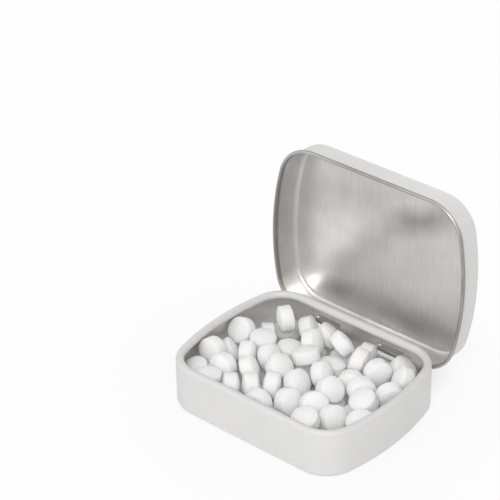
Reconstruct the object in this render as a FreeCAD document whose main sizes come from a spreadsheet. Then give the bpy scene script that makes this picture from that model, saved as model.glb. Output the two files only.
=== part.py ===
import FreeCAD, Part
import Sketcher
import math
import os
import random

# A small hinged mint tin, open, with its filling of pressed mints.
# The tray and the lid are each drawn from one tinplate sheet. The tray's mouth is rolled inwards,
# the lid's mouth is rolled outwards into a bead, and two tabs of the lid's own metal are curled round
# two bars that stand off the tray's back wall, each over a slot. The lid turns on those two bars.
# Millimetres, +Z up, +Y towards the hinge, origin at the middle of the tray's underside.

# Driving sizes: name, value, meaning.
SIZES = [
    ("sheet_thickness", 0.25, "tinplate of the tray and the lid"),
    ("lid_length", 60.3, "lid over the bead of its bowed short sides"),
    ("lid_width", 47.75, "lid over the bead of its straight long sides"),
    ("end_bow_radius", 71.0, "bow of the lid's short sides"),
    ("corner_radius", 10.6, "lid's corners in plan"),
    ("lid_depth", 8.1, "lid from its top to its mouth"),
    ("lid_edge_radius", 1.6, "outside edge between lid top and skirt"),
    ("lid_headroom", 0.2, "closed lid above the tray's rim"),
    ("lid_forward", 0.175, "closed lid in front of the tray's middle, for its swing over the front rim"),
    ("bead_radius", 0.48, "outside radius of the lid's rolled mouth"),
    ("bead_turn", 270.0, "degrees of sheet rolled into the bead"),
    ("tray_inset", 1.29, "tray's outline inside the lid's outline"),
    ("tray_height", 13.5, "tray from its underside to its rim"),
    ("tray_edge_radius", 1.5, "outside edge between tray floor and wall"),
    ("rim_radius", 1.05, "outside radius of the tray's rolled rim"),
    ("rim_turn", 290.0, "degrees of sheet rolled into the rim"),
    ("hinge_spacing", 20.2, "between the middles of the two hinges"),
    ("tab_width", 7.7, "hinge tab along the axis"),
    ("tab_side_gap", 0.4, "slot and notch beyond each side of a tab"),
    ("bar_radius", 0.45, "hinge bar of the tray"),
    ("bar_clearance", 0.1, "running gap between bar and curled tab"),
    ("arm_width", 0.5, "arm that carries each end of a bar, along the axis"),
    ("tab_turn", 265.0, "degrees of tab curled round the bar"),
    ("axis_above_mouth", 0.6, "hinge axis above the closed lid's mouth"),
    ("slot_above_axis", 2.75, "hinge slot upwards from the axis"),
    ("slot_below_axis", 1.3, "hinge slot downwards from the axis"),
    ("open_angle", 93.0, "lid's turn from closed to its stop"),
    ("catch_height", 8.15, "middle of the front catch above the underside"),
    ("catch_radius", 0.8, "front catch in the wall, across its dome"),
    ("catch_rise", 0.12, "front catch out of the wall"),
    ("mint_diameter", 7.0, "pressed mint across its band"),
    ("mint_band", 3.0, "straight edge of a mint"),
    ("mint_dome", 0.8, "rise of each face of a mint"),
    ("mint_gap", 0.06, "least gap round a settled mint"),
    ("mint_clearance", 0.3, "filling away from the closed lid"),
    ("bed_pitch", 7.4, "between the lowest mints as they are poured"),
]


def new_sheet(doc):
    """Spreadsheet with one named cell for each driving size."""
    sheet = doc.addObject("Spreadsheet::Sheet", "Sizes")
    for row, (name, value, meaning) in enumerate(SIZES, start=1):
        sheet.set(f"A{row}", name)
        sheet.set(f"B{row}", str(value))
        sheet.set(f"C{row}", meaning)
        sheet.setAlias(f"B{row}", name)
    return sheet


doc = FreeCAD.newDocument("mint_tin")
sheet = new_sheet(doc)
doc.recompute()
size = {name: float(sheet.get(name)) for name, value, meaning in SIZES}


def cells(formula):
    """Expression in which every size name is read from the spreadsheet."""
    words = formula.replace("(", " ( ").replace(")", " ) ").split()
    return " ".join(f"Sizes.{word}" if word in size else word for word in words)


def number(formula):
    """Present value of the same expression, for laying out a sketch before it is constrained."""
    return float(sheet.evalExpression(cells(formula)))


def new_body(name):
    body = doc.addObject("PartDesign::Body", name)
    body.Label = name
    return body


def new_sketch(body, name, plane, lift=None):
    """Sketch on an origin plane of its own body, lifted along the plane's normal by a formula."""
    sketch = body.newObject("Sketcher::SketchObject", name)
    support = [f for f in body.Origin.OriginFeatures if f.Role == plane][0]
    sketch.AttachmentSupport = (support, "")
    sketch.MapMode = "FlatFace"
    if lift:
        sketch.setExpression("AttachmentOffset.Base.z", cells(lift))
    return sketch


def tie(sketch, name, formula, kind, *where):
    """Dimension of a sketch that is bound to the spreadsheet."""
    index = sketch.addConstraint(Sketcher.Constraint(kind, *where, number(formula)))
    sketch.renameConstraint(index, name)
    sketch.setExpression(f"Constraints.{name}", cells(formula))


def add_outline(sketch, inset, tag):
    """Plan outline: straight long sides, bowed short sides, round corners, drawn in by an inset."""
    half_length = number(f"lid_length / 2 - ( {inset} )")
    half_width = number(f"lid_width / 2 - ( {inset} )")
    bow = number(f"end_bow_radius - ( {inset} )")
    corner = number(f"corner_radius - ( {inset} )")
    bow_x = half_length - bow
    corner_y = half_width - corner
    corner_x = bow_x + math.sqrt((bow - corner) ** 2 - corner_y ** 2)
    reach = math.atan2(corner_y, corner_x - bow_x)
    up = FreeCAD.Vector(0, 0, 1)
    quarter = math.pi / 2

    def arc(x, y, radius, start, end):
        circle = Part.Circle(FreeCAD.Vector(x, y, 0), up, radius)
        return sketch.addGeometry(Part.ArcOfCircle(circle, start, end))

    def line(x1, y1, x2, y2):
        return sketch.addGeometry(Part.LineSegment(FreeCAD.Vector(x1, y1, 0), FreeCAD.Vector(x2, y2, 0)))

    loop = [
        line(-corner_x, -half_width, corner_x, -half_width),
        arc(corner_x, -corner_y, corner, -quarter, -reach),
        arc(bow_x, 0, bow, -reach, reach),
        arc(corner_x, corner_y, corner, reach, quarter),
        line(corner_x, half_width, -corner_x, half_width),
        arc(-corner_x, corner_y, corner, quarter, math.pi - reach),
        arc(-bow_x, 0, bow, math.pi - reach, math.pi + reach),
        arc(-corner_x, -corner_y, corner, math.pi + reach, 3 * quarter),
    ]
    front, right, back, left = loop[0], loop[2], loop[4], loop[6]
    for here, there in zip(loop, loop[1:] + loop[:1]):
        sketch.addConstraint(Sketcher.Constraint("Tangent", here, 2, there, 1))
    for other in loop[3::2]:
        sketch.addConstraint(Sketcher.Constraint("Equal", loop[1], other))
    sketch.addConstraint(Sketcher.Constraint("Equal", right, left))
    sketch.addConstraint(Sketcher.Constraint("Symmetric", front, 1, front, 2, -2))
    sketch.addConstraint(Sketcher.Constraint("Symmetric", front, 2, back, 1, -1))
    sketch.addConstraint(Sketcher.Constraint("Symmetric", back, 1, back, 2, -2))
    tie(sketch, f"{tag}_corner", f"corner_radius - ( {inset} )", "Radius", loop[1])
    tie(sketch, f"{tag}_bow", f"end_bow_radius - ( {inset} )", "Radius", right)
    tie(sketch, f"{tag}_width", f"lid_width - 2 * ( {inset} )", "DistanceY", front, 2, back, 1)
    tie(sketch, f"{tag}_bow_centre", "end_bow_radius - lid_length / 2", "DistanceX", right, 3, -1, 1)


def add_rectangle(sketch, tag, left, right, bottom, top):
    """Upright rectangle between four formulas, each measured from the sketch's own origin."""
    x1, x2, y1, y2 = number(left), number(right), number(bottom), number(top)
    corners = [(x1, y1), (x2, y1), (x2, y2), (x1, y2)]
    ends = [FreeCAD.Vector(x, y, 0) for x, y in corners]
    sides = [sketch.addGeometry(Part.LineSegment(a, b)) for a, b in zip(ends, ends[1:] + ends[:1])]
    for here, there in zip(sides, sides[1:] + sides[:1]):
        sketch.addConstraint(Sketcher.Constraint("Coincident", here, 2, there, 1))
    for side, way in zip(sides, ("Horizontal", "Vertical", "Horizontal", "Vertical")):
        sketch.addConstraint(Sketcher.Constraint(way, side))
    tie(sketch, f"{tag}_left", left, "DistanceX", -1, 1, sides[0], 1)
    tie(sketch, f"{tag}_right", right, "DistanceX", -1, 1, sides[0], 2)
    tie(sketch, f"{tag}_bottom", bottom, "DistanceY", -1, 1, sides[0], 1)
    tie(sketch, f"{tag}_top", top, "DistanceY", -1, 1, sides[2], 1)


def add_roll(sketch, tag, across, height, outer, start, turn):
    """Section of a rolled sheet: a ring of one sheet's thickness, open over the rest of its turn."""
    centre = FreeCAD.Vector(number(across), number(height), 0)
    first = math.radians(number(start))
    last = first + math.radians(number(turn))
    radii = (number(outer), number(f"{outer} - sheet_thickness"))
    arcs = []
    for radius in radii:
        circle = Part.Circle(centre, FreeCAD.Vector(0, 0, 1), radius)
        arcs.append(sketch.addGeometry(Part.ArcOfCircle(circle, first, last)))
    ends = []
    for angle in (first, last):
        way = FreeCAD.Vector(math.cos(angle), math.sin(angle), 0)
        ends.append(sketch.addGeometry(Part.LineSegment(centre + way * radii[1], centre + way * radii[0])))
    sketch.addConstraint(Sketcher.Constraint("Coincident", arcs[0], 3, arcs[1], 3))
    for end, point in zip(ends, (1, 2)):
        sketch.addConstraint(Sketcher.Constraint("Coincident", end, 1, arcs[1], point))
        sketch.addConstraint(Sketcher.Constraint("Coincident", end, 2, arcs[0], point))
    tie(sketch, f"{tag}_outer", outer, "Radius", arcs[0])
    tie(sketch, f"{tag}_inner", f"{outer} - sheet_thickness", "Radius", arcs[1])
    tie(sketch, f"{tag}_across", across, "DistanceX", -1, 1, arcs[0], 3)
    tie(sketch, f"{tag}_height", height, "DistanceY", -1, 1, arcs[0], 3)


def flat_edges(shape, z):
    """Names of the edges that lie wholly at one height."""
    level = [all(abs(v.Z - z) < 1e-6 for v in e.Vertexes) for e in shape.Edges]
    return [f"Edge{i}" for i, keep in enumerate(level, start=1) if keep]


def flat_face(shape, z):
    """Name of the level face at one height."""
    level = [all(abs(v.Z - z) < 1e-6 for v in f.Vertexes) for f in shape.Faces]
    return f"Face{level.index(True) + 1}"


def feature(body, kind, name, profile=None, **formulas):
    """PartDesign feature on the body's tip, with its sizes bound to formulas."""
    made = body.newObject(f"PartDesign::{kind}", name)
    if profile:
        made.Profile = profile
    for prop, formula in formulas.items():
        made.setExpression(prop, cells(formula))
    return made


def round_edges(body, name, z, radius):
    base = body.Tip
    made = feature(body, "Fillet", name, Radius=radius)
    made.Base = (base, flat_edges(base.Shape, z))
    doc.recompute()


def hollow_out(body, name, z):
    """Shell of one sheet's thickness, open at the level face at height z."""
    base = body.Tip
    made = feature(body, "Thickness", name, Value="sheet_thickness")
    made.Base = (base, [flat_face(base.Shape, z)])
    made.Reversed = True
    made.Join = "Arc"
    doc.recompute()


def add_catch(body, face, height):
    """Small dome pressed out of the middle of the front wall."""
    section = new_sketch(body, "CatchSection", "YZ_Plane")
    section.setExpression("AttachmentOffset.Base.x", cells(f"0 - ( {face} )"))
    section.setExpression("AttachmentOffset.Base.y", cells(height))
    radius, rise, bite = number("catch_radius"), number("catch_rise"), number("sheet_thickness / 2")
    ball = (radius ** 2 + rise ** 2) / (2 * rise)
    circle = Part.Circle(FreeCAD.Vector(ball - rise, 0, 0), FreeCAD.Vector(0, 0, 1), ball)
    cap = section.addGeometry(Part.ArcOfCircle(circle, math.pi - math.asin(radius / ball), math.pi))
    ends = [FreeCAD.Vector(x, y, 0) for x, y in ((-rise, 0), (bite, 0), (bite, radius), (0, radius))]
    middle, inner, edge = [section.addGeometry(Part.LineSegment(p, q)) for p, q in zip(ends, ends[1:])]
    loop = [cap, middle, inner, edge]
    for here, there in zip(loop, loop[1:] + loop[:1]):
        section.addConstraint(Sketcher.Constraint("Coincident", here, 2, there, 1))
    for line, point, axis in ((middle, 1, -1), (middle, 2, -1), (cap, 3, -1), (edge, 2, -2)):
        section.addConstraint(Sketcher.Constraint("PointOnObject", line, point, axis))
    section.addConstraint(Sketcher.Constraint("Vertical", inner))
    section.addConstraint(Sketcher.Constraint("Horizontal", edge))
    tie(section, "rise", "catch_rise", "DistanceX", middle, 1, -1, 1)
    tie(section, "bite", "sheet_thickness / 2", "DistanceX", -1, 1, middle, 2)
    tie(section, "radius", "catch_radius", "DistanceY", -1, 1, inner, 2)
    bump = feature(body, "Revolution", "Catch", section)
    bump.ReferenceAxis = (section, ["H_Axis"])
    bump.Angle = 360
    doc.recompute()


TRAY_BACK = "lid_width / 2 - tray_inset"
LID_TOP = "tray_height + lid_headroom + sheet_thickness"
MOUTH_Z = f"( {LID_TOP} - lid_depth )"
AXIS_Z = f"( {MOUTH_Z} + axis_above_mouth )"
CURL_RADIUS = "( bar_radius + bar_clearance + sheet_thickness )"
SKIRT_FACE = "( lid_width / 2 - 2 * bead_radius + sheet_thickness )"
CURL_Y = f"( {SKIRT_FACE} - sheet_thickness + {CURL_RADIUS} )"
AXIS_Y = f"( {CURL_Y} - lid_forward )"
TAB_LEFT = "( hinge_spacing / 2 - tab_width / 2 )"
TAB_RIGHT = "( hinge_spacing / 2 + tab_width / 2 )"
HINGES = (("right", TAB_LEFT, TAB_RIGHT), ("left", f"0 - {TAB_RIGHT}", f"0 - {TAB_LEFT}"))


def tray():
    """Drawn tray with a rolled rim, a hinge bar on two arms over each slot, and a front catch."""
    body = new_body("base_tray")
    outline = new_sketch(body, "TrayOutline", "XY_Plane")
    add_outline(outline, "tray_inset", "tray")
    feature(body, "Pad", "TrayBlock", outline, Length="tray_height - rim_radius")
    doc.recompute()
    round_edges(body, "TrayEdge", 0, "tray_edge_radius")
    hollow_out(body, "TrayShell", number("tray_height - rim_radius"))

    path = new_sketch(body, "RimPath", "XY_Plane", "tray_height - rim_radius")
    add_outline(path, "tray_inset + rim_radius", "rim")
    section = new_sketch(body, "RimSection", "YZ_Plane")
    add_roll(section, "rim", f"rim_radius - ( {TRAY_BACK} )", "tray_height - rim_radius", "rim_radius",
             "180 - rim_turn", "rim_turn")
    doc.recompute()
    rim = feature(body, "AdditivePipe", "RolledRim", section)
    rim.Spine = (path, [f"Edge{i}" for i in range(1, len(path.Shape.Edges) + 1)])
    doc.recompute()
    add_catch(body, TRAY_BACK, "catch_height")

    slots = new_sketch(body, "HingeSlots", "XZ_Plane")
    for tag, left, right in HINGES:
        add_rectangle(slots, tag, f"{left} - tab_side_gap", f"{right} + tab_side_gap",
                      f"{AXIS_Z} - slot_below_axis", f"{AXIS_Z} + slot_above_axis")
    cut = feature(body, "Pocket", "SlottedBack", slots)
    cut.Type = "ThroughAll"
    doc.recompute()

    for tag, left, right in HINGES:
        start = f"{left} - tab_side_gap - arm_width"
        bar = new_sketch(body, f"Bar_{tag}", "YZ_Plane", start)
        circle = Part.Circle(FreeCAD.Vector(number(AXIS_Y), number(AXIS_Z), 0), FreeCAD.Vector(0, 0, 1),
                             number("bar_radius"))
        ring = bar.addGeometry(circle)
        tie(bar, "bar_radius", "bar_radius", "Radius", ring)
        tie(bar, "axis_y", AXIS_Y, "DistanceX", -1, 1, ring, 3)
        tie(bar, "axis_z", AXIS_Z, "DistanceY", -1, 1, ring, 3)
        feature(body, "Pad", f"HingeBar_{tag}", bar, Length="tab_width + 2 * tab_side_gap + 2 * arm_width")
        doc.recompute()
        for end, place in (("near", start), ("far", f"{right} + tab_side_gap")):
            arm = new_sketch(body, f"Arm_{tag}_{end}", "YZ_Plane", place)
            add_rectangle(arm, "arm", f"{TRAY_BACK} - sheet_thickness", AXIS_Y,
                          f"{AXIS_Z} - bar_radius", f"{AXIS_Z} + bar_radius")
            feature(body, "Pad", f"HingeArm_{tag}_{end}", arm, Length="arm_width")
            doc.recompute()
    return body


def lid():
    """Drawn lid with a beaded mouth and two tabs curled round the bars, laid back on its stop."""
    body = new_body("lid")
    outline = new_sketch(body, "LidOutline", "XY_Plane", "bead_radius")
    add_outline(outline, "2 * bead_radius - sheet_thickness", "lid")
    feature(body, "Pad", "LidBlock", outline, Length="lid_depth - bead_radius")
    doc.recompute()
    round_edges(body, "LidEdge", number("lid_depth"), "lid_edge_radius")
    hollow_out(body, "LidShell", number("bead_radius"))

    path = new_sketch(body, "BeadPath", "XY_Plane", "bead_radius")
    add_outline(path, "bead_radius", "bead")
    section = new_sketch(body, "BeadSection", "YZ_Plane")
    add_roll(section, "bead", "bead_radius - lid_width / 2", "bead_radius", "bead_radius",
             "0 - bead_turn", "bead_turn")
    doc.recompute()
    bead = feature(body, "AdditivePipe", "RolledBead", section)
    bead.Spine = (path, [f"Edge{i}" for i in range(1, len(path.Shape.Edges) + 1)])
    doc.recompute()

    # The bead and the foot of the skirt give way to each tab and to the arms beside it.
    beside = "( tab_side_gap + arm_width + bar_clearance )"
    notch = "( axis_above_mouth + bar_radius + bar_clearance )"
    gaps = new_sketch(body, "BeadGaps", "XY_Plane")
    for tag, left, right in HINGES:
        add_rectangle(gaps, tag, f"{left} - {beside}", f"{right} + {beside}",
                      f"{SKIRT_FACE} - sheet_thickness - bar_clearance", "lid_width / 2 + bar_clearance")
    gap = feature(body, "Pocket", "BeadGap", gaps, Length=notch)
    gap.Reversed = True
    doc.recompute()
    roots = new_sketch(body, "TabRoots", "XY_Plane", "axis_above_mouth")
    for tag, left, right in HINGES:
        add_rectangle(roots, tag, left, right, f"{SKIRT_FACE} - sheet_thickness", SKIRT_FACE)
    feature(body, "Pad", "TabRoot", roots, Length=f"{notch} - axis_above_mouth")
    doc.recompute()
    for tag, left, right in HINGES:
        curl = new_sketch(body, f"Curl_{tag}", "YZ_Plane", left)
        add_roll(curl, "curl", CURL_Y, "axis_above_mouth", CURL_RADIUS, "180", "tab_turn")
        feature(body, "Pad", f"CurledTab_{tag}", curl, Length="tab_width")
        doc.recompute()

    axis = FreeCAD.Vector(0, number(AXIS_Y), number(AXIS_Z))
    closed = FreeCAD.Placement(FreeCAD.Vector(0, -number("lid_forward"), number(MOUTH_Z)), FreeCAD.Rotation())
    turn = FreeCAD.Rotation(FreeCAD.Vector(1, 0, 0), -number("open_angle"))
    body.Placement = FreeCAD.Placement(FreeCAD.Vector(), turn, axis) * closed
    return body


# Mints that show, as the heap in the tray was found: middle in hundredths of the tray's inside
# half length, half width and height, then the tilt of the mint's axis and the way it leans.
VISIBLE_MINTS = [
    (-63, 67, 71, 88, 54), (-82, 16, 71, 58, 269), (-60, 30, 64, 87, 225), (-55, 18, 67, 5, 325),
    (-83, -31, 67, 80, 268), (-72, -20, 63, 60, 48), (-59, -52, 71, 77, 272), (-57, -72, 67, 5, 110),
    (-33, -71, 73, 90, 39), (-20, -59, 73, 87, 225), (-7, -45, 73, 84, 211), (-40, -38, 70, 66, 38),
    (-53, -14, 70, 83, 28), (-34, -4, 73, 62, 15), (-20, -14, 73, 38, 7), (-30, 22, 69, 10, 50),
    (-29, 60, 73, 68, 19), (-38, 74, 64, 68, 30), (-11, 25, 71, 19, 159), (-23, 85, 56, 43, 46),
    (-2, 70, 71, 55, 59), (17, 26, 71, 12, 74), (4, -22, 73, 56, 11), (14, 7, 68, 68, 19),
    (19, -59, 73, 67, 355), (38, -40, 74, 59, 328), (39, -10, 71, 48, 353), (46, -69, 71, 20, 268),
    (65, -52, 73, 65, 350), (28, 54, 73, 73, 197), (28, 71, 65, 84, 193), (53, 43, 73, 87, 332),
    (56, 7, 73, 89, 327), (76, 24, 70, 79, 145), (73, -5, 72, 25, 248), (84, -33, 72, 23, 278),
    (71, 58, 78, 62, 228), (66, 79, 65, 39, 31), (-2, -72, 71, 90, 98), (-79, -66, 59, 25, 248),
    (40, 26, 58, 85, 300),
]
# Tilts of the lowest mints as they are poured, in degrees, and the order of chance that picks them.
BED_TILTS = (0, 10, 20, 35)
POUR_SEED = 1
# Shares by which a mint that shows is drawn back to its place, and a hidden one sinks, at each shake.
# The places were read along one line of sight, so a mint that shows is left free to slide along it.
SHAKES = 260
DRAW_BACK = 0.04
SINK = 0.03
SIGHT = FreeCAD.Vector(0.555, -0.641, 0.530)
# After them the filling is shaken freely until no overlap is left above this many millimetres.
# Each time this many free shakes go by, the most tightly pressed of the hidden mints is taken out.
SETTLED = 0.01
PATIENCE = 60
# A mint is stood in for by a short cylinder with a skin of this many domes, held off at its spokes.
SKIN = 1.6
SPOKES = 8


class Mint:
    """One mint of the filling: its middle, its axis and, where it shows, the place it is wanted at."""

    def __init__(self, place, tilt, lean, shows):
        heading = FreeCAD.Rotation(FreeCAD.Vector(0, 0, 1), lean)
        leaning = FreeCAD.Rotation(FreeCAD.Vector(0, 1, 0), tilt)
        self.turn = heading * leaning
        self.axis = self.turn.multVec(FreeCAD.Vector(0, 0, 1))
        self.middle = FreeCAD.Vector(place)
        self.wanted = FreeCAD.Vector(place)
        self.shows = shows
        self.pressed = 0
        edge = size["mint_band"] / 2
        self.skin = size["mint_dome"] * SKIN
        self.half = edge + size["mint_dome"] - self.skin
        self.core = size["mint_diameter"] / 2 - math.sqrt(self.skin ** 2 - (edge - self.half) ** 2)
        angles = [2 * math.pi * k / SPOKES for k in range(SPOKES)]
        outside = self.core / math.cos(math.pi / SPOKES)
        rim = [FreeCAD.Vector(math.cos(a) * outside, math.sin(a) * outside, end)
               for a in angles for end in (-self.half, self.half)]
        self.spokes = [self.turn.multVec(point) for point in rim]

    def nearest(self, point):
        """Point of the mint's core, a short cylinder, nearest to another point; a skin covers the core."""
        away = point - self.middle
        up = away.dot(self.axis)
        flat = away - self.axis * up
        far = flat.Length
        if far > self.core:
            flat = flat * (self.core / far)
        return self.middle + flat + self.axis * max(-self.half, min(self.half, up))


def wall(point):
    """Distance from a point in plan to the tray's outer face, and the way inwards from there."""
    bow = size["end_bow_radius"] - size["tray_inset"]
    corner = size["corner_radius"] - size["tray_inset"]
    half_width = size["lid_width"] / 2 - size["tray_inset"]
    bow_x = size["lid_length"] / 2 - size["end_bow_radius"]
    corner_y = half_width - corner
    corner_x = bow_x + math.sqrt((bow - corner) ** 2 - corner_y ** 2)
    side, end = math.copysign(1, point.y), math.copysign(1, point.x)
    right, up = abs(point.x) - corner_x, abs(point.y) - corner_y
    if right > 0 and up > 0 and math.atan2(up, right) > math.atan2(corner_y, corner_x - bow_x):
        far = math.hypot(right, up)
        return corner - far, FreeCAD.Vector(-end * right / far, -side * up / far, 0)
    far = math.hypot(abs(point.x) - bow_x, point.y)
    if half_width - abs(point.y) < bow - far:
        return half_width - abs(point.y), FreeCAD.Vector(0, -side, 0)
    return bow - far, FreeCAD.Vector(-end * (abs(point.x) - bow_x) / far, -point.y / far, 0)


def clear_of(across, up, least, inward):
    """Push that takes a point out of a round bar, seen along that bar."""
    far = math.hypot(across, up)
    if far >= least:
        return FreeCAD.Vector()
    return (inward * (across / far) + FreeCAD.Vector(0, 0, up / far)) * (least - far)


def hold_inside(mint):
    """Move a mint clear of the tray and of the closed lid."""
    reach = mint.skin + size["mint_gap"]
    for spoke in mint.spokes:
        point = mint.middle + spoke
        room, inward = wall(point)
        push = inward * max(size["sheet_thickness"] + reach - room, 0)
        push += clear_of(room - size["rim_radius"], point.z - size["tray_height"] + size["rim_radius"],
                         size["rim_radius"] + reach, inward)
        push.z += max(size["sheet_thickness"] + reach - point.z, 0)
        roof = size["tray_height"] + size["lid_headroom"] - size["mint_clearance"]
        push.z -= max(point.z + mint.skin - roof, 0)
        mint.middle += push
        mint.pressed = max(mint.pressed, push.Length)


def push_apart(one, other):
    """Move two mints clear of each other, half each; one that is hidden gives way to one that shows."""
    least = 2 * one.skin + size["mint_gap"]
    if one.middle.distanceToPoint(other.middle) > least + 2 * math.hypot(one.core, one.half):
        return
    here = one.middle
    for look in range(6):
        there = other.nearest(here)
        here = one.nearest(there)
    way = here - there
    far = way.Length
    if far >= least:
        return
    if far < SETTLED:
        way = one.middle - other.middle
    way.normalize()
    give = 0.5 if one.shows == other.shows else float(other.shows)
    one.middle += way * ((least - far) * give)
    other.middle -= way * ((least - far) * (1 - give))
    one.pressed = max(one.pressed, least - far)
    other.pressed = max(other.pressed, least - far)


def pour():
    """Mints poured over a first layer on the tray's floor."""
    mints = []
    inside = size["tray_inset"] + size["sheet_thickness"]
    half_length, half_width = size["lid_length"] / 2 - inside, size["lid_width"] / 2 - inside
    for across, along, up, tilt, lean in VISIBLE_MINTS:
        share = FreeCAD.Vector(across * half_length, along * half_width, up * size["tray_height"])
        mints.append(Mint(share / 100, tilt, lean, True))
    chance = random.Random(POUR_SEED)
    pitch = size["bed_pitch"]
    rows, columns = int(half_width / pitch) + 2, int(half_length / pitch) + 2
    for row in range(-rows, rows + 1):
        for column in range(-columns, columns + 1):
            place = FreeCAD.Vector((column + row % 2 / 2) * pitch, row * pitch * math.sqrt(0.75), 0)
            if wall(place)[0] > size["mint_diameter"] / 2:
                mints.append(Mint(place, chance.choice(BED_TILTS), chance.randrange(360), False))
    return mints


def shake(mints):
    """Push every mint clear once; return the deepest overlap that was met."""
    for mint in mints:
        mint.pressed = 0
    for i, mint in enumerate(mints):
        for other in mints[:i]:
            push_apart(mint, other)
    for mint in mints:
        hold_inside(mint)
    return max(mint.pressed for mint in mints)


def settle(mints):
    """Shake the filling until no mint overlaps another one, the tray or the closed lid."""
    for turn in range(SHAKES):
        for mint in mints:
            if mint.shows:
                pull = mint.wanted - mint.middle
                mint.middle += (pull - SIGHT * pull.dot(SIGHT)) * DRAW_BACK
            else:
                mint.middle.z -= SINK
        shake(mints)
    free = 0
    while shake(mints) > SETTLED:
        free += 1
        if free % PATIENCE == 0:
            hidden = [mint for mint in mints if not mint.shows]
            mints.remove(max(hidden or mints, key=lambda mint: mint.pressed))
    print("filling of", len(mints), "mints settled after", free, "free shakes")


def mint_profile():
    """Half section of a mint: a straight band between two domed faces."""
    sketch = doc.addObject("Sketcher::SketchObject", "MintProfile")
    sketch.Placement.Rotation = FreeCAD.Rotation(FreeCAD.Vector(1, 0, 0), 90)
    radius, band, dome = number("mint_diameter / 2"), number("mint_band / 2"), number("mint_dome")
    ball = (radius ** 2 + dome ** 2) / (2 * dome)
    spread = math.asin(radius / ball)
    centre = band + dome - ball
    quarter = math.pi / 2

    def cap(height, start, end):
        circle = Part.Circle(FreeCAD.Vector(0, height, 0), FreeCAD.Vector(0, 0, 1), ball)
        return sketch.addGeometry(Part.ArcOfCircle(circle, start, end))

    def line(x1, y1, x2, y2):
        return sketch.addGeometry(Part.LineSegment(FreeCAD.Vector(x1, y1, 0), FreeCAD.Vector(x2, y2, 0)))

    under = cap(-centre, -quarter, spread - quarter)
    edge = line(radius, -band, radius, band)
    over = cap(centre, quarter - spread, quarter)
    middle = line(0, band + dome, 0, -band - dome)
    loop = [under, edge, over, middle]
    for here, there in zip(loop, loop[1:] + loop[:1]):
        sketch.addConstraint(Sketcher.Constraint("Coincident", here, 2, there, 1))
    for part, point in ((under, 3), (over, 3), (middle, 1), (middle, 2)):
        sketch.addConstraint(Sketcher.Constraint("PointOnObject", part, point, -2))
    sketch.addConstraint(Sketcher.Constraint("Symmetric", edge, 1, edge, 2, -1))
    tie(sketch, "radius", "mint_diameter / 2", "DistanceX", -1, 1, edge, 1)
    tie(sketch, "band", "mint_band", "DistanceY", edge, 1, edge, 2)
    tie(sketch, "top", "mint_band / 2 + mint_dome", "DistanceY", -1, 1, middle, 1)
    tie(sketch, "foot", "mint_band / 2 + mint_dome", "DistanceY", middle, 2, -1, 1)
    return sketch


def press(profile, name, mint):
    """One mint as a solid of its own, turned from the shared profile and laid in its place."""
    solid = doc.addObject("Part::Revolution", name)
    solid.Label = name
    solid.Source = profile
    solid.Axis = (0, 0, 1)
    solid.Angle = 360
    solid.Solid = True
    solid.Placement = FreeCAD.Placement(mint.middle, mint.turn)
    return solid


def filling():
    """Mints that show, one node each, and the group of those underneath."""
    mints = pour()
    settle(mints)
    profile = mint_profile()
    shown = [mint for mint in mints if mint.shows]
    hidden = [mint for mint in mints if not mint.shows]
    nodes = [press(profile, f"mint_{i:02d}", mint) for i, mint in enumerate(shown, start=1)]
    group = doc.addObject("Part::Compound", "mints_underneath")
    group.Label = "mints_underneath"
    group.Links = [press(profile, f"under_{i:02d}", mint) for i, mint in enumerate(hidden, start=1)]
    doc.recompute()
    return nodes + [group]


def check(nodes):
    """Stop if any feature failed or any shape is empty or faulty."""
    for made in doc.Objects:
        failed = {"Invalid", "Error"} & set(made.State)
        shape = getattr(made, "Shape", None)
        if failed or shape is not None and (shape.isNull() or not shape.isValid()):
            raise RuntimeError(f"{made.Name} did not build: {made.State}")
    for node in nodes:
        print(node.Label, "solids", len(node.Shape.Solids), "volume", round(node.Shape.Volume, 1))


os.makedirs("parts", exist_ok=True)
nodes = [tray(), lid()] + filling()
doc.recompute()
check(nodes)
for node in nodes:
    node.Shape.exportStep(f"parts/{node.Label}.step")
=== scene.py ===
import math

import bmesh
import bpy
import numpy as np
from mathutils import Matrix, Vector


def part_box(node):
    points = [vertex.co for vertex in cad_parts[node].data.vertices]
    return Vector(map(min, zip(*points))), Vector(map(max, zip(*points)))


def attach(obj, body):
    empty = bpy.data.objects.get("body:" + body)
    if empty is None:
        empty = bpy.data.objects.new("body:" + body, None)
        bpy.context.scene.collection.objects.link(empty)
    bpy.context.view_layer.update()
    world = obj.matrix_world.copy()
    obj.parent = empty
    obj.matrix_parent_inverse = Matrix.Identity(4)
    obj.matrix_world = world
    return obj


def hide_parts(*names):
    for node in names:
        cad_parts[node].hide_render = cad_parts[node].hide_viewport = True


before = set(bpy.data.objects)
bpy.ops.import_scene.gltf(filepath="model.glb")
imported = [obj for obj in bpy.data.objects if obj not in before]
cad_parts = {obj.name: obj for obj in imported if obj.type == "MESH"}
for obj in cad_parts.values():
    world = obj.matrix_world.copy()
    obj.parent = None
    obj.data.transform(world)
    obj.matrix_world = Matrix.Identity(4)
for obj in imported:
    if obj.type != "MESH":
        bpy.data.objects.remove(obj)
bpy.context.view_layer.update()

bl_info = {
    "name": "Mint tin",
    "version": (1, 0, 0),
    "blender": (4, 5, 0),
    "location": "View3D > Sidebar > Mint tin",
    "description": "Dresses a small hinged mint tin and its filling for a studio picture",
    "category": "Object",
}

MM = 0.001
LID_LOW, LID_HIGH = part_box("lid")
TRAY_LOW, TRAY_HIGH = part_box("base_tray")


# Sizes and colours

def linear(code):
    """Linear colour of an sRGB hex code."""
    shares = [int(code[i:i + 2], 16) / 255 for i in (1, 3, 5)]
    return tuple(s / 12.92 if s <= 0.04045 else ((s + 0.055) / 1.055) ** 2.4 for s in shares) + (1.0,)


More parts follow.
